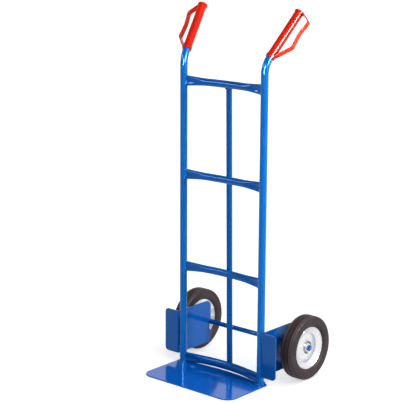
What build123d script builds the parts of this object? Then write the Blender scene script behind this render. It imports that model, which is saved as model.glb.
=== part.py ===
from build123d import *
import os
from math import asin, atan2, cos, degrees, hypot, radians, sin, sqrt

# Hand truck (sack truck), millimetres. +Y runs backwards from the toe plate to the wheels and the
# user, +Z is up, and +X is to the right of somebody who faces the truck across its toe plate: left
# and right in the names are theirs. The origin is on the toe plate's underside, at floor level,
# midway between the axes of the two uprights.

# ---- driving dimensions -------------------------------------------------------------------------
TUBE_D = 25.0            # outer diameter of the frame tube
TUBE_WALL = 1.5
UPRIGHT_X = 170.0        # half the spacing of the uprights' axes
PLATE_T = 4.0            # toe plate thickness
PLATE_HALF_W = 192.5
PLATE_FRONT = 188.5      # how far the toe plate reaches in front of the uprights' axes
PLATE_REAR = 9.5         # how far it reaches behind them
PLATE_REAR_BOW = 13.0    # and how much further at its middle, between the uprights
PLATE_CORNER_R = 38.0

BEND_START_Z = 1032.4    # the uprights are straight up to here
BEND_R = 78.0            # centreline radius of the bend under each grip
BEND_TILT = 40.5         # degrees the grip leans back from vertical
SPLAY = 14.0             # degrees the grip also turns outwards, seen from above

GRIP_LEN = 182.0         # grip, from the collar's mouth to the top of the end flange
GRIP_D = 29.0
COLLAR_D = 32.5
COLLAR_LEN = 11.0
END_FLANGE_D = 34.0
END_FLANGE_T = 6.0
END_DOME_H = 3.0
GUARD_T = 3.0            # thickness of the knuckle guard's strip
GUARD_W = 16.0
GUARD_REACH = 52.5       # distance from the grip's axis to the guard's mid-surface
GUARD_TURN = 8.5         # degrees the guard is turned about the grip, from outboard to the rear
GUARD_ELBOWS = (58.0, 157.0)   # where along the grip the strip bends
GUARD_BOW = 7.0          # how far it is bowed towards the grip between them
TUBE_IN_GRIP = 174.0     # length of straight tube inside the grip

WHEEL_D = 217.0
TYRE_W = 50.0
WHEEL_X = 237.5          # wheel centre plane
AXLE_Y = 153.5
AXLE_D = 17.0
AXLE_Z = WHEEL_D / 2
RIM_R = 70.5
RIM_HALF_W = 16.5
DISC_T = 1.5

SHEET_T = 3.5            # wheel bracket sheet
BRACKET_Z0, BRACKET_Z1 = 33.0, 185.0
FLANGE_OUT_X = 242.0     # outboard edge of the bracket's front flange
FLANGE_FRONT_Y = -13.0
BRACKET_REAR_Y = 159.0
BEND_IN_R = 2.0          # inside radius of the bracket's fold

CROSSBARS = {            # name: (height of the axis, how far the middle is bowed backwards)
    "top_crossbar": (983.0, 17.0),
    "middle_crossbar": (668.0, 12.5),
    "lower_crossbar": (348.0, 18.0),
    "bottom_crossbar": (21.9, 24.5),
}
CRUSH = [                # distance in from the upright, half height, half depth of the crushed end
    (0.0, 17.6, 4.6),
    (20.0, 16.3, 7.2),
    (45.0, 13.8, 10.6),
    (75.0, 12.5, 12.5),
]
BOTTOM_CRUSH = [         # the bottom bar stays a little flattened right across
    (0.0, 17.2, 4.6),
    (20.0, 16.3, 7.2),
    (45.0, 15.2, 9.6),
    (75.0, 14.7, 11.5),
]
BAR_D = 20.0             # centre bar
BAR_END_Z = 14.0
TOUCH = 0.02             # gap left where two round tubes only kiss

RUN = 0.06               # radial running clearance of the bushes on the axle
END_PLAY = 0.3           # axial gap each side of the wheel's hub
HUB_HALF_L = 12.0
HUB_OUT_R = 12.5
BUSH_OUT_R = 10.5
BUSH_FLANGE_R = 14.0
BUSH_FLANGE_T = 1.5
BUSH_LEN = 9.0
WASHER_T = 1.2
WASHER_R = 13.0
CAP_R = 10.0
CAP_LEN = 6.0
CAP_WALL = 1.5

tube_r = TUBE_D / 2
axle_r = AXLE_D / 2
tilt, splay = radians(BEND_TILT), radians(SPLAY)

os.makedirs("parts", exist_ok=True)


def save(built, name):
    """Labels a finished piece and writes its STEP file."""
    built.part.label = name
    export_step(built.part, f"parts/{name}.step")


def offset_line(points, distance):
    """The open polyline shifted sideways by distance, to the left of its direction, mitred."""
    shifted = []
    for i, (x, y) in enumerate(points):
        before = points[max(i - 1, 0)]
        after = points[min(i + 1, len(points) - 1)]
        normals = []
        for (ax, ay), (bx, by) in ((before, (x, y)), ((x, y), after)):
            run = hypot(bx - ax, by - ay)
            if run > 0:
                normals.append(((ay - by) / run, (bx - ax) / run))
        nx = sum(n[0] for n in normals) / len(normals)
        ny = sum(n[1] for n in normals) / len(normals)
        stretch = distance / (nx * nx + ny * ny)
        shifted.append((x + nx * stretch, y + ny * stretch))
    return shifted


def corner(sketch, x, y):
    """The sketch's corner nearest to a local point."""
    target = Vector(x, y, 0)
    return min(sketch.vertices(), key=lambda v: (Vector(v.X, v.Y, 0) - target).length)


def mirrored(built, name):
    """The same piece on the truck's other side."""
    with BuildPart() as other:
        mirror(built.part, about=Plane.YZ)
    save(other, name)
    return other


# ---- uprights -----------------------------------------------------------------------------------
# Each is one tube: straight up from the toe plate, bent back and outwards, then straight in the grip.
heading = Vector(sin(splay), cos(splay), 0)
bend_end = (BEND_R * (1 - cos(tilt)), BEND_START_Z + BEND_R * sin(tilt))
grip_base = Vector(UPRIGHT_X, 0, bend_end[1]) + heading * bend_end[0]
grip_dir = heading * sin(tilt) + Vector(0, 0, cos(tilt))
bend_plane = Plane(origin=(UPRIGHT_X, 0, 0), x_dir=heading, z_dir=heading.cross(Vector(0, 0, 1)))

with BuildPart() as right_upright:
    with BuildLine(bend_plane) as upright_path:
        Line((0, PLATE_T), (0, BEND_START_Z))
        CenterArc((BEND_R, BEND_START_Z), BEND_R, 180, -BEND_TILT)
        Line(bend_end, (bend_end[0] + TUBE_IN_GRIP * sin(tilt), bend_end[1] + TUBE_IN_GRIP * cos(tilt)))
    with BuildSketch(Plane(origin=(UPRIGHT_X, 0, PLATE_T), z_dir=(0, 0, 1))):
        Circle(tube_r)
        Circle(tube_r - TUBE_WALL, mode=Mode.SUBTRACT)
    sweep(path=upright_path.wires()[0])
save(right_upright, "right_upright")
left_upright = mirrored(right_upright, "left_upright")


# ---- crossbars ----------------------------------------------------------------------------------
# Round tubes bowed backwards, with both ends crushed to a tall oval and coped to the uprights.
def crossbar_section(along, bow, height, crush, shrink):
    """Plane and half axes of the bar's section at a distance along, from -1 to 1 of the half span."""
    span = UPRIGHT_X - tube_r
    radius = (span * span + bow * bow) / (2 * bow)
    turn = asin(span / radius) * along
    place = (radius * sin(turn), bow - radius * (1 - cos(turn)), height)
    frame = Plane(origin=place, x_dir=(sin(turn), cos(turn), 0), z_dir=(cos(turn), -sin(turn), 0))
    inset = span * (1 - abs(along))
    tall, deep = crush[-1][1], crush[-1][2]
    for (d0, t0, p0), (d1, t1, p1) in zip(crush, crush[1:]):
        if inset < d1:
            part_way = max(inset - d0, 0) / (d1 - d0)
            tall, deep = t0 + (t1 - t0) * part_way, p0 + (p1 - p0) * part_way
            break
    return frame, deep - shrink, tall - shrink


def crossbar_blank(bow, height, crush, shrink):
    """The bar as a loft through its sections, a little longer than the gap between the uprights."""
    span = UPRIGHT_X - tube_r
    stations = [1 + 3.0 / span] + [1 - d / span for d, _, _ in crush[1:]] + [0.25]
    stations = stations + [-s for s in reversed(stations)]
    with BuildPart() as blank:
        for along in stations:
            frame, deep, tall = crossbar_section(along, bow, height, crush, shrink)
            with BuildSketch(frame):
                Ellipse(deep, tall)
        loft()
    return blank.part


for bar_name, (height, bow) in CROSSBARS.items():
    crush = BOTTOM_CRUSH if bar_name == "bottom_crossbar" else CRUSH
    outer = crossbar_blank(bow, height, crush, 0)
    inner = crossbar_blank(bow, height, crush, TUBE_WALL)
    with BuildPart() as crossbar:
        add(outer)
        add(inner, mode=Mode.SUBTRACT)
        with Locations((UPRIGHT_X, 0, height), (-UPRIGHT_X, 0, height)):
            Cylinder(tube_r, 60, mode=Mode.SUBTRACT)
    save(crossbar, bar_name)

# ---- centre bar ---------------------------------------------------------------------------------
# A thinner tube behind the middle, lower and bottom crossbars, mitred under the top one.
mid_z, mid_bow = CROSSBARS["middle_crossbar"]
low_z, low_bow = CROSSBARS["lower_crossbar"]
top_z, top_bow = CROSSBARS["top_crossbar"]
bar_slope = (low_bow - mid_bow) / (low_z - mid_z)
bar_tilt = atan2(-bar_slope, 1)
bar_gap = (tube_r + BAR_D / 2) / cos(bar_tilt) + TOUCH


def bar_y(z):
    """Y of the centre bar's axis at height z."""
    return mid_bow + bar_gap + bar_slope * (z - mid_z)


bar_foot = Vector(0, bar_y(BAR_END_Z), BAR_END_Z)
bar_dir = Vector(0, bar_slope, 1).normalized()
with BuildPart() as centre_bar:
    with BuildSketch(Plane(origin=bar_foot, x_dir=(1, 0, 0), z_dir=bar_dir)):
        Circle(BAR_D / 2)
    extrude(amount=top_z + 30 - BAR_END_Z)
    # The mitre touches the top crossbar's lower rear quadrant.
    slant = Vector(0, 1, -1).normalized()
    touch_point = Vector(0, top_bow, top_z) + slant * (tube_r + TOUCH)
    split(bisect_by=Plane(origin=touch_point, x_dir=(1, 0, 0), z_dir=slant), keep=Keep.TOP)
    with BuildPart(mode=Mode.PRIVATE) as bore:
        with BuildSketch(Plane(origin=bar_foot, x_dir=(1, 0, 0), z_dir=bar_dir)):
            Circle(BAR_D / 2 - TUBE_WALL)
        extrude(amount=top_z + 30 - BAR_END_Z)
        split(bisect_by=Plane(origin=touch_point + slant * TUBE_WALL, x_dir=(1, 0, 0), z_dir=slant),
              keep=Keep.TOP)
    add(bore.part, mode=Mode.SUBTRACT)
save(centre_bar, "centre_bar")

# ---- toe plate ----------------------------------------------------------------------------------
# Its rear edge is bowed backwards between the uprights, under the bottom crossbar.
with BuildPart() as toe_plate:
    with BuildSketch(Plane.XY) as plate_outline:
        with Locations((0, (PLATE_REAR - PLATE_FRONT) / 2)):
            Rectangle(2 * PLATE_HALF_W, PLATE_FRONT + PLATE_REAR)
        fillet(plate_outline.vertices().group_by(Axis.Y)[0], PLATE_CORNER_R)
        fillet(plate_outline.vertices().group_by(Axis.Y)[-1], 3)
        with BuildLine():
            edge_end = UPRIGHT_X - tube_r
            ThreePointArc((edge_end, PLATE_REAR), (0, PLATE_REAR + PLATE_REAR_BOW), (-edge_end, PLATE_REAR))
            Line((-edge_end, PLATE_REAR), (edge_end, PLATE_REAR))
        make_face()
    extrude(amount=PLATE_T)
    chamfer(toe_plate.faces().sort_by(Axis.Z)[-1].edges(), 0.8)
save(toe_plate, "toe_plate")

# Small triangular gusset on the plate's rear corner, outboard of each upright.
GUSSET_W, GUSSET_H, GUSSET_T, GUSSET_Y = 9.0, 11.0, 3.0, 4.0
with BuildPart() as right_toe_gusset:
    with BuildSketch(Plane.XZ.offset(-GUSSET_Y)):
        with BuildLine():
            Polyline((UPRIGHT_X + 5, PLATE_T), (UPRIGHT_X + tube_r + GUSSET_W, PLATE_T),
                     (UPRIGHT_X + tube_r - 0.6, PLATE_T + GUSSET_H), (UPRIGHT_X + 5, PLATE_T + GUSSET_H),
                     close=True)
        make_face()
    extrude(amount=-GUSSET_T)
    with Locations((UPRIGHT_X, 0, PLATE_T)):
        Cylinder(tube_r, 60, mode=Mode.SUBTRACT)
save(right_toe_gusset, "right_toe_gusset")
left_toe_gusset = mirrored(right_toe_gusset, "left_toe_gusset")

# ---- wheel brackets -----------------------------------------------------------------------------
# Folded sheet: a side plate against the outside of the upright, and a front flange turned outboard.
side_x = UPRIGHT_X + tube_r
with BuildPart() as right_wheel_bracket:
    with BuildSketch(Plane.XY.offset(BRACKET_Z0)) as fold:
        with BuildLine():
            Polyline((side_x, BRACKET_REAR_Y), (side_x, FLANGE_FRONT_Y), (FLANGE_OUT_X, FLANGE_FRONT_Y),
                     (FLANGE_OUT_X, FLANGE_FRONT_Y + SHEET_T), (side_x + SHEET_T, FLANGE_FRONT_Y + SHEET_T),
                     (side_x + SHEET_T, BRACKET_REAR_Y), close=True)
        make_face()
        fillet(corner(fold, side_x, FLANGE_FRONT_Y), BEND_IN_R + SHEET_T)
        fillet(corner(fold, side_x + SHEET_T, FLANGE_FRONT_Y + SHEET_T), BEND_IN_R)
    extrude(amount=BRACKET_Z1 - BRACKET_Z0)
    flange_corners = (right_wheel_bracket.edges().filter_by(Axis.Y).group_by(Axis.X)[-1])
    fillet(flange_corners, 13)
    rear_edges = right_wheel_bracket.edges().filter_by(Axis.X).group_by(Axis.Y)[-1].sort_by(Axis.Z)
    fillet(rear_edges[-1], 22)
    rear_edges = right_wheel_bracket.edges().filter_by(Axis.X).group_by(Axis.Y)[-1].sort_by(Axis.Z)
    chamfer(rear_edges[0], 11)
    # Seat for the axle, open to the rear, with a shallow relief below it.
    with BuildSketch(Plane.YZ.offset(side_x - 1)):
        with BuildLine():
            Polyline((AXLE_Y, AXLE_Z + axle_r), (BRACKET_REAR_Y + 1, AXLE_Z + axle_r),
                     (BRACKET_REAR_Y + 1, AXLE_Z - 36), (BRACKET_REAR_Y - 7, AXLE_Z - 25),
                     (BRACKET_REAR_Y - 7, AXLE_Z), (AXLE_Y, AXLE_Z), close=True)
        make_face()
        with Locations((AXLE_Y, AXLE_Z)):
            Circle(axle_r)
    extrude(amount=SHEET_T + 2, mode=Mode.SUBTRACT)
save(right_wheel_bracket, "right_wheel_bracket")
left_wheel_bracket = mirrored(right_wheel_bracket, "left_wheel_bracket")

# ---- axle and what stays still on it --------------------------------------------------------------
hub_end = HUB_HALF_L + BUSH_FLANGE_T                      # from the wheel's centre plane
washer_in_x = WHEEL_X - hub_end - END_PLAY - WASHER_T     # inboard face of the inner washer
washer_out_x = WHEEL_X + hub_end + END_PLAY               # inboard face of the outer washer
cap_x = washer_out_x + WASHER_T
axle_half = cap_x + CAP_LEN - CAP_WALL
axle_line = Axis((0, AXLE_Y, AXLE_Z), (1, 0, 0))


def ring(x, inner_r, outer_r, length):
    """A plain ring round the axle from x outboard, on the right."""
    with BuildPart() as made:
        with BuildSketch(Plane(origin=(x, AXLE_Y, AXLE_Z), x_dir=(0, 1, 0), z_dir=(1, 0, 0))):
            Circle(outer_r)
            Circle(inner_r, mode=Mode.SUBTRACT)
        extrude(amount=length)
    return made


with BuildPart() as axle:
    with BuildSketch(Plane(origin=(-axle_half, AXLE_Y, AXLE_Z), x_dir=(0, 1, 0), z_dir=(1, 0, 0))):
        Circle(axle_r)
    extrude(amount=2 * axle_half)
    chamfer(axle.edges().filter_by(GeomType.CIRCLE), 1)
save(axle, "axle")

side_out_x = side_x + SHEET_T
spacer = ring(side_out_x, axle_r, axle_r + 2.5, washer_in_x - side_out_x)
save(spacer, "right_axle_spacer")
mirrored(spacer, "left_axle_spacer")

with BuildPart() as washers:
    for start in (washer_in_x, washer_out_x):
        add(ring(start, axle_r, WASHER_R, WASHER_T).part)
save(washers, "right_axle_washers")
mirrored(washers, "left_axle_washers")

# Push-on cap over the axle's end, slightly domed with a dimple in the middle.
with BuildPart() as axle_cap:
    with BuildSketch(Plane(origin=(0, AXLE_Y, AXLE_Z), x_dir=(1, 0, 0), z_dir=(0, -1, 0))) as cap_side:
        with BuildLine():
            Polyline((cap_x, axle_r), (cap_x, CAP_R), (cap_x + CAP_LEN, CAP_R), (cap_x + CAP_LEN + 0.6, 5),
                     (cap_x + CAP_LEN + 0.6, 3), (cap_x + CAP_LEN - 0.4, 2), (cap_x + CAP_LEN - 0.4, 0),
                     (axle_half, 0), (axle_half, axle_r - 1), (axle_half - 1, axle_r), close=True)
        make_face()
        fillet(corner(cap_side, cap_x + CAP_LEN, CAP_R), 2)
    revolve(axis=axle_line)
save(axle_cap, "right_axle_cap")
mirrored(axle_cap, "left_axle_cap")

# ---- wheels -------------------------------------------------------------------------------------
# Two pressed discs hold a solid tyre between them. Their profile is (distance outboard of the wheel's
# centre plane, radius), outside face: weld ring on the hub, recess, raised web, crease, flared flank.
disc_face = [(4.5, HUB_OUT_R), (4.5, 18.5), (10.1, 21.5), (10.7, 26.0), (4.6, 47.5), (14.0, 65.5),
             (RIM_HALF_W, RIM_R)]
disc_back = offset_line(disc_face, DISC_T)
disc_back[0] = (disc_back[0][0], HUB_OUT_R)
tyre_seat = [p for p in offset_line(disc_face, DISC_T + 0.05) if p[1] > 40]
BEAD_R = 1.5             # rolled edge of each disc
TREAD_GROOVE_W, TREAD_GROOVE_D = 3.0, 2.2


def wheel_plane():
    """XZ plane through the axle, its x from the right wheel's centre plane."""
    return Plane(origin=(WHEEL_X, AXLE_Y, AXLE_Z), x_dir=(1, 0, 0), z_dir=(0, -1, 0))


def rim_disc(outward):
    """One pressed disc, with its flank flaring outboard (1) or inboard (-1)."""
    with BuildPart() as disc:
        with BuildSketch(wheel_plane()) as section:
            with BuildLine():
                Polyline(*[(outward * x, r) for x, r in disc_face + disc_back[::-1]], close=True)
            make_face()
            for x, r in disc_face[1:-1]:
                fillet(corner(section, outward * x, r), 1.4 if r < 25 else 3.5)
            for x, r in disc_back[2:-1]:
                fillet(corner(section, outward * x, r), 1.0 if r < 25 else 2.5)
            with Locations((outward * (RIM_HALF_W + 0.1), RIM_R + 0.2)):
                Circle(BEAD_R)
        revolve(axis=axle_line)
    return disc


with BuildPart() as tyre:
    with BuildSketch(wheel_plane()) as tyre_section:
        half = TYRE_W / 2
        outer_r = WHEEL_D / 2
        flank = [(half - 7, RIM_R + 2.2), (half - 1.6, RIM_R + 8), (half, RIM_R + 15),
                 (half - 0.6, outer_r - 6), (half - 5, outer_r - 0.8), (half - 12, outer_r)]
        inner = [(tyre_seat[0][0] + (56 - tyre_seat[0][1]) * (tyre_seat[1][0] - tyre_seat[0][0])
                  / (tyre_seat[1][1] - tyre_seat[0][1]), 56.0), tyre_seat[1],
                 (RIM_HALF_W - 1.7, RIM_R + 0.4), (RIM_HALF_W - 1.7, RIM_R + 2.2)]
        right_side = inner + flank
        with BuildLine():
            Polyline(*(right_side + [(-x, r) for x, r in reversed(right_side)]), close=True)
        make_face()
        for x, r in flank[1:]:
            for s in (1, -1):
                fillet(corner(tyre_section, s * x, r), 4 if r < outer_r - 3 else 3)
        with Locations(*[(x, outer_r) for x in (-9, 9)]):
            Rectangle(TREAD_GROOVE_W, 2 * TREAD_GROOVE_D, mode=Mode.SUBTRACT)
    revolve(axis=axle_line)
save(tyre, "right_tyre")
mirrored(tyre, "left_tyre")

outer_disc, inner_disc = rim_disc(1), rim_disc(-1)
save(outer_disc, "right_outer_rim_disc")
save(inner_disc, "right_inner_rim_disc")
mirrored(outer_disc, "left_outer_rim_disc")
mirrored(inner_disc, "left_inner_rim_disc")

hub_tube = ring(WHEEL_X - HUB_HALF_L, BUSH_OUT_R, HUB_OUT_R, 2 * HUB_HALF_L)
save(hub_tube, "right_hub_tube")
mirrored(hub_tube, "left_hub_tube")

with BuildPart() as hub_bushes:
    for outward in (1, -1):
        with BuildSketch(wheel_plane()):
            with BuildLine():
                bore_r, tip = axle_r + RUN, HUB_HALF_L - BUSH_LEN
                Polyline(*[(outward * x, r) for x, r in (
                    (tip, bore_r), (tip, BUSH_OUT_R), (HUB_HALF_L, BUSH_OUT_R),
                    (HUB_HALF_L, BUSH_FLANGE_R), (hub_end, BUSH_FLANGE_R), (hub_end, bore_r))], close=True)
            make_face()
        revolve(axis=axle_line)
save(hub_bushes, "right_hub_bushes")
mirrored(hub_bushes, "left_hub_bushes")

# ---- grips --------------------------------------------------------------------------------------
# Moulded sleeve with a collar, a domed end flange, and a flat strip guarding the knuckles outboard.
grip_end = grip_base + grip_dir * GRIP_LEN
sideways = (Vector(1, 0, 0) - grip_dir * grip_dir.X).normalized()
turn = radians(GUARD_TURN)
outboard = sideways * cos(turn) + grip_dir.cross(sideways) * sin(turn)
guard_plane = Plane(origin=grip_base, x_dir=grip_dir, z_dir=grip_dir.cross(outboard))
across_grip = Plane(origin=grip_base, x_dir=outboard, z_dir=grip_dir)
guard_line = [(6.0, 12.0), (GUARD_ELBOWS[0], GUARD_REACH), (sum(GUARD_ELBOWS) / 2, GUARD_REACH - GUARD_BOW),
              (GUARD_ELBOWS[1], GUARD_REACH), (GRIP_LEN - END_FLANGE_T / 2, 14.0)]
guard_in = offset_line(guard_line, -GUARD_T / 2)
guard_out = offset_line(guard_line, GUARD_T / 2)

with BuildPart() as right_grip:
    with BuildSketch(guard_plane) as strip:
        with BuildLine():
            Polyline(*(guard_out + guard_in[::-1]), close=True)
        make_face()
        for i, bend_r in ((1, 13), (2, 120), (3, 13)):
            fillet(corner(strip, *guard_out[i]), bend_r)
            fillet(corner(strip, *guard_in[i]), bend_r - GUARD_T if bend_r < 100 else bend_r + GUARD_T)
    extrude(amount=GUARD_W / 2, both=True)
    with BuildSketch(guard_plane) as sleeve:
        with BuildLine():
            top = GRIP_LEN
            Polyline((0, 0), (0, COLLAR_D / 2), (COLLAR_LEN, COLLAR_D / 2), (COLLAR_LEN + 1.5, GRIP_D / 2),
                     (top - END_FLANGE_T - 1.5, GRIP_D / 2), (top - END_FLANGE_T, END_FLANGE_D / 2),
                     (top, END_FLANGE_D / 2), (top + END_DOME_H, END_FLANGE_D / 4),
                     (top + END_DOME_H + 0.4, 0), close=True)
        make_face()
        fillet(corner(sleeve, top, END_FLANGE_D / 2), 2)
        fillet(corner(sleeve, 0, COLLAR_D / 2), 0.8)
    revolve(axis=Axis(grip_base, grip_dir))
    with BuildSketch(across_grip.offset(-1)):
        Circle(tube_r)
    extrude(amount=TUBE_IN_GRIP + 1 + 0.5, mode=Mode.SUBTRACT)
save(right_grip, "right_grip")
left_grip = mirrored(right_grip, "left_grip")
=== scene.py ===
"""Hand truck: its looks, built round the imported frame. Metres; +X right, +Y back, +Z up."""

from math import asin, cos, pi, radians, sin, sqrt, tan

import bmesh
import bpy
from mathutils import Matrix, Vector


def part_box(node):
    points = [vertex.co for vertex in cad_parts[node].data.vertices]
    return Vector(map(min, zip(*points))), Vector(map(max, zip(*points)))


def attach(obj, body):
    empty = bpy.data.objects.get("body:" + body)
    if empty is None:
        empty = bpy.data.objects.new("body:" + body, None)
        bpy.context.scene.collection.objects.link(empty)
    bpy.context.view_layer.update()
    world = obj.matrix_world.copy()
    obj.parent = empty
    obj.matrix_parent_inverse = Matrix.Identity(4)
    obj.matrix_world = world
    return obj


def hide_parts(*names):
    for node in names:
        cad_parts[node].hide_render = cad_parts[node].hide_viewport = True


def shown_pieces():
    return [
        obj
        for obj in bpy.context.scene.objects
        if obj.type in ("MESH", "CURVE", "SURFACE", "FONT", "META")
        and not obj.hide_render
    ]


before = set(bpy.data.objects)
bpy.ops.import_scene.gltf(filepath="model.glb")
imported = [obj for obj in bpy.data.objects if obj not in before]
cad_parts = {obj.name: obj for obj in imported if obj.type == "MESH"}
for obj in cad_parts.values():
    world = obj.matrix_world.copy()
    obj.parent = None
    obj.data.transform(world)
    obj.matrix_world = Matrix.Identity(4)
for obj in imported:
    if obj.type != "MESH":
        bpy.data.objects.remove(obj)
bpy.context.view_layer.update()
MM = 0.001
X, Y, Z = Vector((1, 0, 0)), Vector((0, 1, 0)), Vector((0, 0, 1))

# ---- the frame's own dimensions, in metres -----------------------------------------------------
TUBE_R = 12.5 * MM
UPRIGHT_X = 170 * MM
PLATE_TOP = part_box("toe_plate")[1].z
SIDE_X = UPRIGHT_X + TUBE_R              # inboard face of a wheel bracket
BAR_R = 10 * MM                          # centre bar
CRUSH_LEN = 75 * MM                      # length of a crossbar's crushed end
BOTTOM_TALL, BOTTOM_DEEP = 14.7 * MM, 11.5 * MM    # half section of the bottom crossbar's middle
BEND_START_Z, BEND_R = 1032.4 * MM, 78 * MM
BEND_TILT, SPLAY = radians(40.5), radians(14)
GRIP_LEN = 182 * MM
GUARD_REACH, GUARD_BOW, GUARD_TURN = 52.5 * MM, 7 * MM, radians(8.5)
GUARD_ELBOWS = (58 * MM, 157 * MM)
GUARD_ROOTS = ((6 * MM, 12 * MM), (GRIP_LEN - 3 * MM, 14 * MM))   # along the grip, out from its axis
GUARD_ELBOW_R, GUARD_BOW_R = 11.5 * MM, 120 * MM   # centre-line radii of its bends
GUARD_T, GUARD_W = 3 * MM, 16 * MM
SIDES = {"left": -1, "right": 1}
BARS = ("top", "middle", "lower", "bottom")


def centre_of(node):
    """The middle of a CAD node's box."""
    low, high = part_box(node)
    return (low + high) / 2


def grip_axis(sign):
    """Where a grip's axis leaves the upright's bend, and its direction."""
    heading = Vector((sign * sin(SPLAY), cos(SPLAY), 0))
    base = (Vector((sign * UPRIGHT_X, 0, BEND_START_Z + BEND_R * sin(BEND_TILT)))
            + heading * BEND_R * (1 - cos(BEND_TILT)))
    return base, heading * sin(BEND_TILT) + Z * cos(BEND_TILT)


# ---- material tools ----------------------------------------------------------------------------
class Nodes:
    """Short ways to add shader nodes to one material."""

    def __init__(self, name):
        self.material = bpy.data.materials.new(name)
        self.material.use_nodes = True
        self.tree = self.material.node_tree
        self.shader = self.tree.nodes["Principled BSDF"]
        self.place = self.add("ShaderNodeTexCoord").outputs["Object"]

    def add(self, kind, **settings):
        made = self.tree.nodes.new(kind)
        for key, value in settings.items():
            setattr(made, key, value)
        return made

    def link(self, source, target):
        """Feeds a socket from another socket, or sets it to a number or a colour."""
        if isinstance(source, (int, float, tuple)):
            target.default_value = source
        else:
            self.tree.links.new(source, target)

    def maths(self, operation, *values):
        made = self.add("ShaderNodeMath", operation=operation)
        for value, socket in zip(values, made.inputs):
            self.link(value, socket)
        return made.outputs[0]

    def vector(self, operation, *values):
        made = self.add("ShaderNodeVectorMath", operation=operation)
        for value, socket in zip(values, made.inputs):
            self.link(value, socket)
        return made.outputs["Value" if operation in ("LENGTH", "DOT_PRODUCT") else "Vector"]

    def noise(self, scale, detail=2.0, where=None, roughness=0.5):
        made = self.add("ShaderNodeTexNoise")
        self.link(self.place if where is None else where, made.inputs["Vector"])
        made.inputs["Scale"].default_value = scale
        made.inputs["Detail"].default_value = detail
        made.inputs["Roughness"].default_value = roughness
        return made.outputs["Fac"]

    def spread(self, value, low, high, to_low=0.0, to_high=1.0):
        """Maps low..high smoothly to to_low..to_high, clamped."""
        made = self.add("ShaderNodeMapRange", interpolation_type="SMOOTHSTEP")
        self.link(value, made.inputs["Value"])
        for socket, number in zip(("From Min", "From Max", "To Min", "To Max"),
                                  (low, high, to_low, to_high)):
            made.inputs[socket].default_value = number
        return made.outputs["Result"]

    def band(self, value, fades):
        """1 between fades[1] and fades[2], fading to 0 at fades[0] and fades[3]."""
        return self.maths("MULTIPLY", self.spread(value, fades[0], fades[1]),
                          self.spread(value, fades[2], fades[3], 1.0, 0.0))

    def mix(self, factor, first, second):
        made = self.add("ShaderNodeMix", data_type="RGBA")
        self.link(factor, made.inputs["Factor"])
        for socket, colour in ((made.inputs[6], first), (made.inputs[7], second)):
            self.link(colour if not isinstance(colour, tuple) else (*colour, 1.0), socket)
        return made.outputs[2]

    def bump(self, height, distance, strength=1.0, under=None):
        made = self.add("ShaderNodeBump")
        made.inputs["Strength"].default_value = strength
        made.inputs["Distance"].default_value = distance
        self.link(height, made.inputs["Height"])
        if under is not None:
            self.link(under, made.inputs["Normal"])
        return made.outputs["Normal"]

    def set(self, **sockets):
        """Sets or links the shader's sockets, named with _ for a space."""
        for key, value in sockets.items():
            self.link(value, self.shader.inputs[key.replace("_", " ")])
        return self.material


# ---- finishes ----------------------------------------------------------------------------------
HELD = (30 * MM, 60 * MM, 130 * MM, 160 * MM)      # along a grip: rubbing starts, full, full, ends
CREASE_SHADE = (40.0 * MM, 48.0 * MM, 48.5 * MM, 54.5 * MM)      # the same for radii on a rim disc, where its crease gets painted shade
HUB_RECESS_SHADE = (13.5 * MM, 15.0 * MM, 20.0 * MM, 23.5 * MM)       # and for the painted shade in the recess round its hub
SHOULDER_HIGHLIGHT = (10.5 * MM, 12.5 * MM, 16.5 * MM, 19.0 * MM)    # and across the tread, from its middle, for the painted highlight on each shoulder
GROOVE_DEPTH, GROOVE_HALF_W = 2.4 * MM, 11 * MM            # the grooved middle of the tread
MOULDING_PITCH = 3.4 * MM                # of the fine rings on a tyre's flank


def paint(name, light, dark, rough, specular_tint, coat, scuffs=0.0, specular=0.5):
    """Gloss powder coat: orange peel, faint mottling, fine scuffs where wanted."""
    n = Nodes(name)
    mottle = n.spread(n.noise(14.0, 3.0), 0.3, 0.7)
    fine = n.noise(420.0, 2.0)
    colour = n.mix(mottle, dark, light)
    roughness = n.spread(n.noise(60.0, 4.0), 0.3, 0.75, rough * 0.85, rough * 1.25)
    if scuffs:
        stretched = n.vector("MULTIPLY", n.place, (35.0, 260.0, 60.0))
        marks = n.spread(n.noise(1.0, 5.0, stretched, 0.6), 0.60, 0.74)
        colour = n.mix(n.maths("MULTIPLY", marks, scuffs), colour, (0.02, 0.20, 0.62))
        roughness = n.maths("ADD", roughness, n.maths("MULTIPLY", marks, 0.08))
    peel = n.bump(n.noise(260.0, 1.0), 0.00004, 0.6)
    n.set(Base_Color=colour, Roughness=roughness, Normal=n.bump(fine, 0.00002, 0.4, peel),
          Specular_Tint=specular_tint, Specular_IOR_Level=specular,
          Coat_Weight=coat, Coat_Roughness=0.05)
    return n.material


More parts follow.
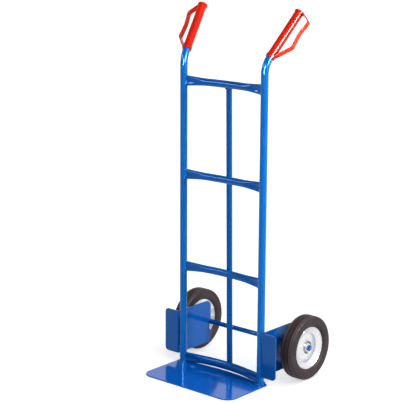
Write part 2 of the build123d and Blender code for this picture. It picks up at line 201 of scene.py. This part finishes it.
def grip_plastic(name, base, direction):
    """Moulded red vinyl: glossy skin, darker where hands rub it; the guard, far off the axis, is
    painted a lighter red, standing in for light on it.
    """
    n = Nodes(name)
    from_base = n.vector("SUBTRACT", n.place, tuple(base))
    along = n.vector("DOT_PRODUCT", from_base, tuple(direction))
    off_axis = n.vector("LENGTH", n.vector("CROSS_PRODUCT", from_base, tuple(direction)))
    held = n.band(along, HELD)
    shade = n.spread(n.noise(22.0, 3.0), 0.3, 0.7)
    colour = n.mix(shade, (0.315, 0.0060, 0.0014), (0.375, 0.0085, 0.0020))
    colour = n.mix(n.maths("MULTIPLY", held, 0.25), colour, (0.285, 0.0052, 0.0014))
    # painted light: the guard, far off the grip's axis, is painted a lighter red
    colour = n.mix(n.spread(off_axis, 17 * MM, 26 * MM), colour, (0.56, 0.0200, 0.0040))
    gloss = n.spread(n.noise(25.0, 3.0), 0.3, 0.7, 0.11, 0.13)
    n.set(Base_Color=colour, Roughness=n.maths("ADD", gloss, n.maths("MULTIPLY", held, 0.03)),
          Normal=n.bump(n.noise(500.0, 1.0), 0.000002, 0.1), Specular_Tint=(1.0, 0.12, 0.08, 1.0),
          Specular_IOR_Level=0.16, Coat_Weight=0.15, Coat_Roughness=0.10)
    return n.material


def wheel_coordinates(n, centre):
    """Radius from the axle, angle round it and distance along it, at the shaded point."""
    split = n.add("ShaderNodeSeparateXYZ")
    n.link(n.vector("SUBTRACT", n.place, tuple(centre)), split.inputs[0])
    along, y, z = split.outputs
    radius = n.maths("SQRT", n.maths("ADD", n.maths("MULTIPLY", y, y), n.maths("MULTIPLY", z, z)))
    return radius, n.maths("ARCTAN2", z, y), along


def rubber(name, centre, outer):
    """Solid black tyre: dusty bloom, painted shade in the grooves, a painted highlight on each
    shoulder, moulding rings on the flank.
    """
    n = Nodes(name)
    radius, _, across = wheel_coordinates(n, centre)
    across = n.maths("ABSOLUTE", across)
    crown = n.spread(radius, outer - 6 * MM, outer - 0.5 * MM)
    groove = n.spread(radius, outer - GROOVE_DEPTH, outer - GROOVE_DEPTH + 0.8 * MM, 1.0, 0.0)
    middle = n.spread(across, GROOVE_HALF_W, GROOVE_HALF_W + 1 * MM, 1.0, 0.0)
    deep = n.maths("MULTIPLY", groove, middle)
    cloud = n.spread(n.noise(18.0, 4.0), 0.3, 0.7)
    colour = n.mix(cloud, (0.0128, 0.0078, 0.0088), (0.0205, 0.0130, 0.0140))
    colour = n.mix(n.maths("MULTIPLY", crown, 0.25), colour, (0.033, 0.024, 0.024))
    # painted shade: the bottoms of the grooves darkened
    colour = n.mix(n.maths("MULTIPLY", deep, 0.8), colour, (0.006, 0.005, 0.005))
    # painted highlight: a lighter band on each shoulder of the tread
    shoulder_highlight = n.maths("MULTIPLY", crown, n.band(across, SHOULDER_HIGHLIGHT))
    colour = n.mix(n.maths("MULTIPLY", shoulder_highlight, 0.7), colour, (0.062, 0.044, 0.044))
    rings = n.maths("SINE", n.maths("MULTIPLY", radius, 2 * pi / MOULDING_PITCH))
    wave = n.bump(rings, 0.00010, 0.25)
    n.set(Base_Color=colour, Roughness=n.spread(n.noise(120.0, 4.0), 0.3, 0.7, 0.48, 0.66),
          Normal=n.bump(n.noise(700.0, 4.0), 0.00006, 0.6, wave), Specular_IOR_Level=0.24)
    return n.material


def zinc(name, centre, disc, pale=0.0):
    """Bright zinc plate with turning marks; a disc also has painted shade along a crease and in a
    brownish ring round its hub, and smudges.
    """
    n = Nodes(name)
    radius, angle, _ = wheel_coordinates(n, centre)
    turned = n.add("ShaderNodeCombineXYZ")
    n.link(n.maths("MULTIPLY", radius, 1500.0), turned.inputs[0])
    n.link(n.maths("MULTIPLY", angle, 2.2), turned.inputs[1])
    lines = n.noise(1.0, 3.0, turned.outputs[0], 0.6)
    cloud = n.spread(n.noise(12.0, 4.0, None, 0.6), 0.40, 0.75)
    colour = n.mix(cloud, (0.69, 0.69, 0.70), (0.46, 0.48, 0.51))
    colour = n.mix(pale, colour, (0.95, 0.95, 0.96))
    if disc:
        # painted shade along the crease in the dish, strongest at its lower rear
        low_rear = n.spread(n.maths("COSINE", n.maths("ADD", angle, 0.5)), -0.5, 0.5, 0.12, 1.0)
        crease = n.maths("MULTIPLY", n.band(radius, CREASE_SHADE), low_rear)
        colour = n.mix(crease, colour, (0.32, 0.38, 0.44))
        # painted shade: a brownish dark ring in the recess round the hub
        hub_recess_shade = n.band(radius, HUB_RECESS_SHADE)
        colour = n.mix(n.maths("MULTIPLY", hub_recess_shade, 0.85), colour, (0.20, 0.17, 0.13))
        smudge = n.spread(n.noise(16.0, 3.0, n.vector("ADD", n.place, (0.31, 0.07, 0.0))), 0.52, 0.66)
        colour = n.mix(n.maths("MULTIPLY", smudge, 0.6), colour, (0.34, 0.35, 0.38))
    satin = n.spread(lines, 0.3, 0.7, 0.20, 0.34)
    n.set(Base_Color=colour, Metallic=0.9, Roughness=satin, Normal=n.bump(lines, 0.00002, 0.3))
    return n.material


def nylon(name):
    """Natural nylon: slightly uneven, faintly translucent."""
    n = Nodes(name)
    colour = n.mix(n.noise(40.0, 3.0), (0.66, 0.65, 0.60), (0.80, 0.79, 0.75))
    n.set(Base_Color=colour, Roughness=n.spread(n.noise(200.0, 3.0), 0.3, 0.7, 0.4, 0.55),
          Normal=n.bump(n.noise(500.0, 2.0), 0.00003, 0.4), Subsurface_Weight=0.1)
    return n.material


def floor_white(name):
    """Plain white studio floor with the faintest unevenness."""
    n = Nodes(name)
    colour = n.mix(n.noise(1.5, 3.0), (0.93, 0.93, 0.93), (0.95, 0.95, 0.95))
    n.set(Base_Color=colour, Roughness=0.9, Emission_Color=(1.0, 1.0, 1.0, 1.0),
          Emission_Strength=0.54, Specular_IOR_Level=0.2,
          Normal=n.bump(n.noise(8.0, 3.0), 0.0005, 0.1))
    return n.material


# ---- mesh tools --------------------------------------------------------------------------------
def piece(name, mesh_maker, material, body):
    """A new mesh object that rides on a body and takes its finish from a slot."""
    mesh = bpy.data.meshes.new(name)
    bm = bmesh.new()
    mesh_maker(bm)
    bmesh.ops.recalc_face_normals(bm, faces=bm.faces)
    bm.to_mesh(mesh)
    bm.free()
    for face in mesh.polygons:
        face.use_smooth = True
    mesh.materials.append(material)
    made = bpy.data.objects.new(name, mesh)
    bpy.context.scene.collection.objects.link(made)
    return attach(made, body)


def tube_along(bm, points, radii, closed=False, sides=10):
    """Sweeps a circle along points, with its own radius at each."""
    count = len(points)
    rings = []
    normal = None
    for i, point in enumerate(points):
        ahead = points[(i + 1) % count] if closed or i + 1 < count else point
        behind = points[i - 1] if closed or i > 0 else point
        tangent = (ahead - behind).normalized()
        if normal is None:
            start = Z if abs(tangent.z) < 0.9 else X
            normal = tangent.cross(start).normalized()
        normal = (normal - tangent * normal.dot(tangent)).normalized()
        side = tangent.cross(normal)
        ring = []
        for k in range(sides):
            turn = 2 * pi * k / sides
            offset = (normal * cos(turn) + side * sin(turn)) * radii[i]
            ring.append(bm.verts.new(point + offset))
        rings.append(ring)
    pairs = list(zip(rings, rings[1:])) + ([(rings[-1], rings[0])] if closed else [])
    for first, second in pairs:
        for k in range(sides):
            bm.faces.new((first[k], first[(k + 1) % sides], second[(k + 1) % sides], second[k]))
    if not closed:
        bm.faces.new(rings[0])
        bm.faces.new(rings[-1][::-1])


def resample(points, step, closed=False):
    """Points spaced evenly along a polyline."""
    line = points + points[:1] if closed else points
    lengths = [(b - a).length for a, b in zip(line, line[1:])]
    total = sum(lengths)
    count = max(int(total / step), 3)
    result, done, i = [], 0.0, 0
    for k in range(count + (0 if closed else 1)):
        target = total * k / count
        while i < len(lengths) - 1 and done + lengths[i] < target:
            done += lengths[i]
            i += 1
        part = (target - done) / lengths[i] if lengths[i] else 0.0
        result.append(line[i].lerp(line[i + 1], min(part, 1.0)))
    return result


def bead(bm, points, radius, closed=False, pitch=2.6 * MM):
    """A weld bead: a tube with the overlapping ripples a torch leaves, tapered where it ends."""
    steps = 5                                # points along each ripple
    path = resample(points, pitch / steps, closed)
    radii = []
    for i in range(len(path)):
        ripple = (i % steps) / steps
        size = radius * (0.88 + 0.16 * ripple)
        if not closed:
            from_end = min(i, len(path) - 1 - i) / steps
            size *= min(1.0, 0.55 + 0.45 * from_end)
        radii.append(size)
    tube_along(bm, path, radii, closed)


def circle(centre, radius, across, upward, start=0.0, end=2 * pi, count=48):
    """Points on a circle or arc in the plane of two directions."""
    whole = end - start > 2 * pi - 0.01
    steps = count if whole else count + 1
    return [centre + across * (radius * cos(start + (end - start) * k / count))
            + upward * (radius * sin(start + (end - start) * k / count)) for k in range(steps)]


# ---- materials ---------------------------------------------------------------------------------
BLUE_TINT = (0.05, 0.36, 1.0, 1.0)
blue = paint("blue_powder_coat", (0.0, 0.076, 0.280), (0.0, 0.068, 0.262), 0.08, BLUE_TINT, 0.10)
# painted shade: a darker copy of the blue paint, standing in for the shade on the crossbars
shaded_blue_bars = paint("blue_bar_coat", (0.0, 0.056, 0.236), (0.0, 0.050, 0.218), 0.12, BLUE_TINT, 0.05,
                  specular=0.32)
# painted shade: a darker copy of the blue paint, standing in for the shade on the centre bar and the
# axle
shaded_blue_post = paint("blue_post_coat", (0.0, 0.040, 0.175), (0.0, 0.035, 0.160), 0.11, BLUE_TINT, 0.06)
blue_plate = paint("blue_plate_coat", (0.0, 0.062, 0.300), (0.0, 0.055, 0.278), 0.10, BLUE_TINT, 0.25,
                   scuffs=0.15)
# painted shade: a darker copy of the blue paint, standing in for the shade on the wheel brackets and
# gussets
shaded_blue_sheet = paint("blue_sheet_coat", (0.0, 0.048, 0.208), (0.0, 0.042, 0.190), 0.14, BLUE_TINT, 0.14)
blue_weld = paint("blue_weld_coat", (0.0, 0.070, 0.290), (0.0, 0.056, 0.250), 0.25, BLUE_TINT, 0.3)
cap_blue = paint("blue_cap_plastic", (0.0, 0.034, 0.200), (0.0, 0.028, 0.170), 0.16, BLUE_TINT, 0.3)
bushes = nylon("natural_nylon")

grip_looks = {side: grip_plastic(f"{side}_grip_vinyl", *grip_axis(sign))
              for side, sign in SIDES.items()}


def look_of(name):
    """The material of one CAD node, by its name."""
    side = name.split("_")[0]
    hub = centre_of(f"{side}_tyre") if side in SIDES else Vector()
    if name == "toe_plate":
        return blue_plate
    if "bracket" in name or "gusset" in name:
        return shaded_blue_sheet
    if "crossbar" in name:
        return shaded_blue_bars
    if name in ("centre_bar", "axle"):
        return shaded_blue_post
    if "cap" in name:
        return cap_blue
    if "bushes" in name:
        return bushes
    if "tyre" in name:
        return rubber(f"{side}_tyre_rubber", hub, (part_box(name)[1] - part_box(name)[0]).z / 2)
    if "disc" in name:
        return zinc(f"{name}_zinc", hub, True, 0.8 if "inner" in name else 0.0)
    if "washers" in name or "spacer" in name or "hub_tube" in name:
        return zinc(f"{name}_zinc", hub, False)
    if "grip" in name:
        return grip_looks[side]
    return blue


for name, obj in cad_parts.items():
    look = look_of(name)
    for holder in obj.material_slots:
        holder.material = look


# ---- crossbars: the frame's own ones, with the valley that crushing leaves in their ends --------
RIDGE_DEEP = 6.2 * MM                    # half depth of a crushed end over its two ridges
VALLEY_DEPTH, VALLEY_WIDTH = 0.62, 0.72  # of the valley between them, as parts of half the section


def upright_skin(y):
    """Distance from the truck's middle to an upright's inboard surface, y behind its axis."""
    return UPRIGHT_X - sqrt(TUBE_R ** 2 - y ** 2)


class Crossbar:
    """Section of one crossbar at any distance in from the upright."""

    def __init__(self, node):
        low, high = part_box(node)
        bottom = node == "bottom_crossbar"
        self.tall, self.deep = (BOTTOM_TALL, BOTTOM_DEEP) if bottom else (TUBE_R, TUBE_R)
        self.end_tall = (high.z - low.z) / 2
        self.height = (high.z + low.z) / 2
        self.bow = high.y - self.deep
        self.span = UPRIGHT_X - TUBE_R
        self.radius = (self.span ** 2 + self.bow ** 2) / (2 * self.bow)     # of the bow

    def ring(self, inset, side, count=48, grow=0.0):
        """Points round the bar at a distance in from the upright, on side -1 or 1.

        Towards the upright the section gets taller, shallower and squarer, and the valley opens
        in its front and its back.
        """
        crushed = max(1 - inset / CRUSH_LEN, 0.0)
        eased = crushed * crushed * (3 - 2 * crushed)
        tall = self.tall + (self.end_tall - self.tall) * crushed ** 1.3 + grow
        deep = self.deep + (RIDGE_DEEP - self.deep) * eased ** 0.8 + grow
        valley = VALLEY_DEPTH * min(1.0, max(crushed - 0.18, 0.0) * 1.6)
        squareness = 2.0 + 1.4 * eased
        turn = asin(self.span / self.radius) * side * (1 - inset / self.span)
        sideways, behind = self.radius * sin(turn), self.bow - self.radius * (1 - cos(turn))
        centre = Vector((sideways, behind, self.height))
        back = Vector((sin(turn), cos(turn), 0))
        points = []
        for k in range(count):
            angle = 2 * pi * k / count
            up = sin(angle)
            depth = deep * sqrt(max(1 - abs(up) ** squareness, 0.0))
            depth *= 1 - valley * max(1 - (up / VALLEY_WIDTH) ** 2, 0.0) ** 1.5
            depth = depth if cos(angle) > 0 else -depth
            points.append(centre + back * depth + Z * (tall * up))
        return points

    def mesh(self, bm):
        """The whole bar as rings of points, closer together in its crushed ends."""
        insets = [0, 3, 7, 12, 18, 25, 33, 42, 52, 63, 75, 92, 112, 134]
        stations = [(i * MM, -1) for i in insets] + [(self.span, 1)]
        stations += [(i * MM, 1) for i in reversed(insets)]
        rings = []
        for inset, side in stations:
            points = self.ring(inset, side)
            if inset == 0:
                for point in points:
                    point.x = side * (upright_skin(point.y) + 0.5 * MM)
            rings.append([bm.verts.new(point) for point in points])
        for first, second in zip(rings, rings[1:]):
            for k in range(len(first)):
                after = (k + 1) % len(first)
                bm.faces.new((first[k], first[after], second[after], second[k]))


for bar in BARS:
    shape = Crossbar(f"{bar}_crossbar").mesh
    tube = piece(f"{bar}_crossbar_tube", shape, shaded_blue_bars, "frame")
    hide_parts(f"{bar}_crossbar")


# ---- welds on the frame ------------------------------------------------------------------------
STITCH_LEN = 25 * MM                     # each short weld between an upright and its bracket
STITCH_Y = (-8.6 * MM, 9.4 * MM)         # in the grooves in front of the upright and behind it
CROSSING_LEN = 14 * MM                   # each weld where the centre bar lies against a crossbar


def upright_foot(sign):
    """A bead round the upright's foot on the toe plate."""
    centre = Vector((sign * UPRIGHT_X, 0, PLATE_TOP + 0.6 * MM))
    path = circle(centre, TUBE_R + 0.6 * MM, X, Y)
    return lambda bm: bead(bm, path, radius=2.1 * MM, closed=True)


def crossbar_ends(node):
    """A bead round both coped, crushed ends of one crossbar."""
    def make(bm):
        for side in (-1, 1):
            path = Crossbar(node).ring(0.0, side, count=64, grow=0.5 * MM)
            for point in path:
                point.x = side * (upright_skin(point.y) - 0.4 * MM)
            bead(bm, path, radius=1.6 * MM, closed=True)
    return make


def bracket_stitches(sign):
    """Two stitch welds in the groove in front of the upright, two behind it, and the axle's."""
    low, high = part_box("right_wheel_bracket")
    axle = centre_of("axle")
    def make(bm):
        for bottom in (low.z + 1 * MM, high.z - 1 * MM - STITCH_LEN):
            for y in STITCH_Y:
                foot = Vector((sign * (SIDE_X - 1.4 * MM), y, bottom))
                bead(bm, [foot, foot + Z * STITCH_LEN], radius=2.6 * MM)
        hub = Vector((sign * (SIDE_X - 0.4 * MM), axle.y, axle.z))
        path = circle(hub, 8.3 * MM, -Y, Z, radians(-105), radians(105))
        bead(bm, path, radius=1.8 * MM)
    return make


def centre_bar_welds(bm):
    """Beads each side where the centre bar crosses a bar, and a ring where it meets the top one."""
    for bar in BARS[1:]:
        low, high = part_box(f"{bar}_crossbar")
        foot = Vector((0, high.y + 1.2 * MM, (low.z + high.z - CROSSING_LEN) / 2))
        for side in (-1, 1):
            start = foot + X * (side * (BAR_R - 1.8 * MM))
            bead(bm, [start, start + Z * CROSSING_LEN], radius=2.3 * MM)
    top = centre_of("top_crossbar").z
    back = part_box("top_crossbar")[1].y
    slant = Vector((0, 1, -1)).normalized()
    touch = Vector((0, back - TUBE_R, top)) + slant * (TUBE_R + 0.6 * MM)
    bead(bm, circle(touch, BAR_R + 0.8 * MM, X, X.cross(slant)), radius=1.7 * MM, closed=True)


for side, sign in SIDES.items():
    piece(f"{side}_foot_weld", upright_foot(sign), blue_weld, "frame")
    piece(f"{side}_bracket_welds", bracket_stitches(sign), blue_weld, "frame")
for bar in BARS:
    piece(f"{bar}_crossbar_welds", crossbar_ends(f"{bar}_crossbar"), blue_weld, "frame")
piece("centre_bar_welds", centre_bar_welds, blue_weld, "frame")


# ---- grips -------------------------------------------------------------------------------------
RAIL_R = 1 * MM                          # the raised edges of a guard


def rounded(points, radii, steps=8):
    """The polyline with its inner corners rounded by arcs."""
    path = [points[0]]
    for before, corner, after, radius in zip(points, points[1:], points[2:], radii):
        first, second = (before - corner).normalized(), (after - corner).normalized()
        half = first.angle(second) / 2
        centre = corner + (first + second).normalized() * (radius / sin(half))
        reach = radius / tan(half)
        start, end = corner + first * reach - centre, corner + second * reach - centre
        path += [centre + start.slerp(end, k / steps, start) * radius for k in range(steps + 1)]
    return path + [points[-1]]


def guard_rails(sign):
    """The two raised edges that make the knuckle guard a shallow channel."""
    base, along = grip_axis(sign)
    sideways = (sign * X - along * (sign * along.x)).normalized()
    rear = (Y - along * along.y - sideways * sideways.y).normalized()
    out = sideways * cos(GUARD_TURN) + rear * sin(GUARD_TURN)
    across = along.cross(out)
    first, last = GUARD_ELBOWS
    start, end = GUARD_ROOTS
    corners = [start, (first, GUARD_REACH), ((first + last) / 2, GUARD_REACH - GUARD_BOW),
               (last, GUARD_REACH), end]
    flat = [base + along * a + out * r for a, r in corners]
    line = resample(rounded(flat, (GUARD_ELBOW_R, GUARD_BOW_R, GUARD_ELBOW_R)), 1.5 * MM)
    edge = GUARD_W / 2 - 0.9 * RAIL_R
    bare = 4                                 # steps of the line without a rail at each end
    def make(bm):
        for shift in (-edge, edge):
            path = []
            for i in range(bare, len(line) - bare):
                tangent = (line[i + 1] - line[i - 1]).normalized()
                normal = across.cross(tangent)
                normal = normal if normal.dot(out) > 0 else -normal
                path.append(line[i] + across * shift + normal * (GUARD_T / 2 + 0.3 * MM))
            tube_along(bm, path, [RAIL_R] * len(path))
    return make


for side, sign in SIDES.items():
    piece(f"{side}_guard_rails", guard_rails(sign), grip_looks[side], "frame")


# ---- wheels ------------------------------------------------------------------------------------
def hub_welds(side, sign):
    """The weld that joins each pressed disc to the hub tube."""
    hub = centre_of(f"{side}_tyre")
    def make(bm):
        for face in (-1, 1):
            path = circle(hub + X * (face * sign * 5.2 * MM), 13.3 * MM, Y, Z)
            bead(bm, path, radius=1.3 * MM, closed=True, pitch=3.4 * MM)
    return make


for side, sign in SIDES.items():
    weld_look = zinc(f"{side}_hub_weld_zinc", centre_of(f"{side}_tyre"), False)
    piece(f"{side}_hub_welds", hub_welds(side, sign), weld_look, f"{side}_wheel")


# ---- camera ------------------------------------------------------------------------------------
CAMERA_PLACE = (2.80495, -3.34371, 1.59761)
CAMERA_HEADING, CAMERA_DIP, CAMERA_ROLL = radians(40.89), radians(12.92), radians(0.27)
CAMERA_LENS, SENSOR_WIDTH = 121.5, 36


def make_camera():
    """A long lens in front of the truck and to its right, looking slightly down."""
    data = bpy.data.cameras.new("camera")
    made = bpy.data.objects.new("camera", data)
    bpy.context.scene.collection.objects.link(made)
    turn = (Matrix.Rotation(CAMERA_HEADING, 4, "Z") @ Matrix.Rotation(pi / 2 - CAMERA_DIP, 4, "X")
            @ Matrix.Rotation(CAMERA_ROLL, 4, "Z"))
    made.matrix_world = Matrix.Translation(CAMERA_PLACE) @ turn
    data.lens, data.sensor_width = CAMERA_LENS, SENSOR_WIDTH
    data.clip_end = 500
    bpy.context.scene.camera = made


# ---- studio ------------------------------------------------------------------------------------
AIM = Vector((0, 0.05, 1.0))             # what the lights point at
TOWARD_CAMERA = Vector((0.643, -0.766, 0))
CAMERA_RIGHT = Vector((0.756, 0.655, 0))
LIGHT_DISTANCE = 2.6
# words in the names of the pieces that the glints don't light
NO_GLINTS = ("tyre", "disc", "hub", "washers", "plate", "bracket", "left_grip", "left_guard")
# name, degrees to the camera's right of the camera, degrees up, width and height, watts
BOXES = (("left_box", -20, 12, (1.0, 1.6), 28),
         ("right_box", 55, 22, (1.0, 1.4), 150))
# the same for the bright boxes that only show as reflections
GLINTS = (("left_glint", -20, 10, (0.60, 1.0), 400),
          ("right_glint", 43, 16, (0.90, 1.0), 460),
          ("side_glint", -81, 22, (0.9, 0.5), 40))


def around(azimuth, elevation):
    """A point round the truck; azimuth in degrees to the camera's right of the camera."""
    level = TOWARD_CAMERA * cos(radians(azimuth)) + CAMERA_RIGHT * sin(radians(azimuth))
    return AIM + (level * cos(radians(elevation)) + Z * sin(radians(elevation))) * LIGHT_DISTANCE


def area_light(name, azimuth, elevation, size, power):
    """A rectangular soft box that points at the truck."""
    data = bpy.data.lights.new(name, "AREA")
    data.shape = "RECTANGLE"
    data.size, data.size_y = size
    data.energy = power
    made = bpy.data.objects.new(name, data)
    bpy.context.scene.collection.objects.link(made)
    made.location = around(azimuth, elevation)
    made.rotation_euler = (AIM - made.location).to_track_quat("-Z", "Y").to_euler()
    return made


def make_world():
    """White all round, dimmer overhead."""
    world = bpy.data.worlds.new("studio")
    bpy.context.scene.world = world
    world.use_nodes = True
    tree = world.node_tree
    background = tree.nodes["Background"]
    where = tree.nodes.new("ShaderNodeTexCoord")
    split = tree.nodes.new("ShaderNodeSeparateXYZ")
    fade = tree.nodes.new("ShaderNodeMapRange")
    fade.interpolation_type = "SMOOTHSTEP"
    for socket, number in zip(("From Min", "From Max", "To Min", "To Max"), (0.3, 0.7, 1.0, 0.25)):
        fade.inputs[socket].default_value = number
    tree.links.new(where.outputs["Generated"], split.inputs[0])
    tree.links.new(split.outputs[2], fade.inputs["Value"])
    tree.links.new(fade.outputs["Result"], background.inputs["Strength"])
    background.inputs["Color"].default_value = (1.0, 1.0, 1.0, 1.0)


def make_lights():
    """Soft boxes that light the truck but not the floor, glints, and an even sky light."""
    truck = bpy.data.collections.new("lit_by_the_boxes")
    glossy = bpy.data.collections.new("lit_by_the_glints")
    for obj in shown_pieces():
        if "inner_rim_disc" not in obj.name:     # or the toe plate mirrors a dazzling disc
            truck.objects.link(obj)
        if not any(word in obj.name for word in NO_GLINTS):
            glossy.objects.link(obj)
    for settings in BOXES:
        area_light(*settings).light_linking.receiver_collection = truck
    for settings in GLINTS:
        box = area_light(*settings)
        box.light_linking.receiver_collection = glossy
        box.visible_diffuse = False
    sun = bpy.data.lights.new("sky", "SUN")
    sun.energy, sun.angle = 0.8, radians(60)
    sky = bpy.data.objects.new("sky", sun)
    bpy.context.scene.collection.objects.link(sky)
    sky.rotation_euler = (AIM - around(50, 55)).to_track_quat("-Z", "Y").to_euler()


def make_floor():
    """A white floor too wide to see the edge of, just below the truck."""
    mesh = bpy.data.meshes.new("floor")
    bm = bmesh.new()
    bmesh.ops.create_grid(bm, x_segments=24, y_segments=24, size=60)
    bm.to_mesh(mesh)
    bm.free()
    mesh.materials.append(floor_white("studio_floor"))
    floor = bpy.data.objects.new("floor", mesh)
    floor.location.z = -0.5 * MM
    bpy.context.scene.collection.objects.link(floor)


make_camera()
make_world()
make_lights()
make_floor()
bpy.context.scene.view_settings.view_transform = "Standard"
